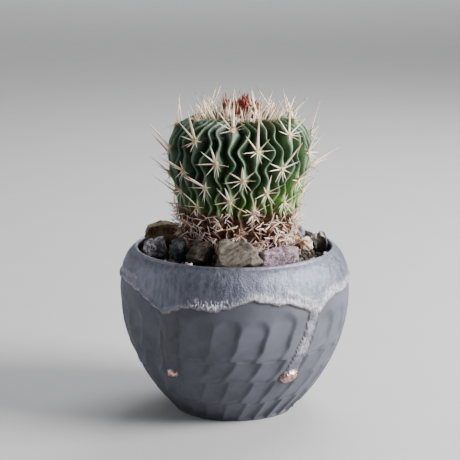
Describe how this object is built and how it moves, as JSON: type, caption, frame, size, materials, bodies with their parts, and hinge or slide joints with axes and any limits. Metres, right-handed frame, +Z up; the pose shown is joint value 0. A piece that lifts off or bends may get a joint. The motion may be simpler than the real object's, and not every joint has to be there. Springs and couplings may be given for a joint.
{
  "type": "potted round cactus",
  "caption": "Globular cactus with wavy ribs and starry spines in a rounded, carved stoneware pot with a dripping glaze collar and a stone mulch.",
  "frame": {"origin": "centre of the pot's foot ring, on the plane that the pot stands on", "axes": "+Z up, -Y to the front, +X to the right as seen from the front"},
  "size_m": [0.1, 0.1, 0.1413],
  "materials": {
    "stoneware": "matte dark grey carved stoneware with a satin blue-grey glaze collar and two glaze runs that end in copper beads",
    "mesh_plastic": "black moulded mesh",
    "grit_soil": "dark gritty cactus soil",
    "cactus_skin": "waxy green skin with cream spines, pale wool and red-brown dried flowers",
    "tan_slate": "tan slate",
    "dark_brown_slate": "dark brown slate",
    "mauve_porphyry": "mauve porphyry",
    "charcoal_stone": "charcoal stone",
    "purple_grey_rock": "purple-grey rock with pale veins",
    "rough_ochre_brown_rock": "rough ochre-brown rock",
    "pinkish_pebble": "pinkish pebble",
    "golden_tan_pebble": "golden tan pebble",
    "sandy_quartz_chip": "sandy quartz chip",
    "lilac_grey_shard": "lilac-grey shard",
    "speckled_grey_shard": "speckled grey shard",
    "glossy_black_pebble": "glossy black pebble",
    "dark_brown_stone": "dark brown stone",
    "grey_stone": "grey stone",
    "rust_brown_stone": "rust-brown stone",
    "pale_grey_stone": "pale grey stone",
    "grey_pebble": "grey pebble",
    "tan_pebble": "tan pebble",
    "dark_pebble": "dark pebble"
  },
  "bodies": {
    "root": {"pot": "stoneware", "drainage_mesh": "mesh_plastic", "soil": "grit_soil", "cactus": "cactus_skin", "slate_slab": "tan_slate", "brown_slate": "dark_brown_slate", "porphyry_wedge": "mauve_porphyry", "charcoal_stone": "charcoal_stone", "veined_rock": "purple_grey_rock", "ochre_rock": "rough_ochre_brown_rock", "pink_pebble": "pinkish_pebble", "tan_pebble": "golden_tan_pebble", "quartz_chip": "sandy_quartz_chip", "lilac_shard": "lilac_grey_shard", "grey_shard": "speckled_grey_shard", "black_pebble_front": "glossy_black_pebble", "black_pebble_right": "glossy_black_pebble", "black_pebble_back": "glossy_black_pebble", "dark_stone_back": "dark_brown_stone", "grey_stone_back": "grey_stone", "rust_stone_back": "rust_brown_stone", "pale_stone_back": "pale_grey_stone", "grey_pebble_front": "grey_pebble", "grey_pebble_right": "grey_pebble", "tan_pebble_back": "tan_pebble", "black_pebble_far": "glossy_black_pebble", "tan_pebble_left": "tan_pebble", "grey_pebble_left": "grey_pebble", "dark_pebble_back": "dark_pebble"}
  },
  "joints": []
}
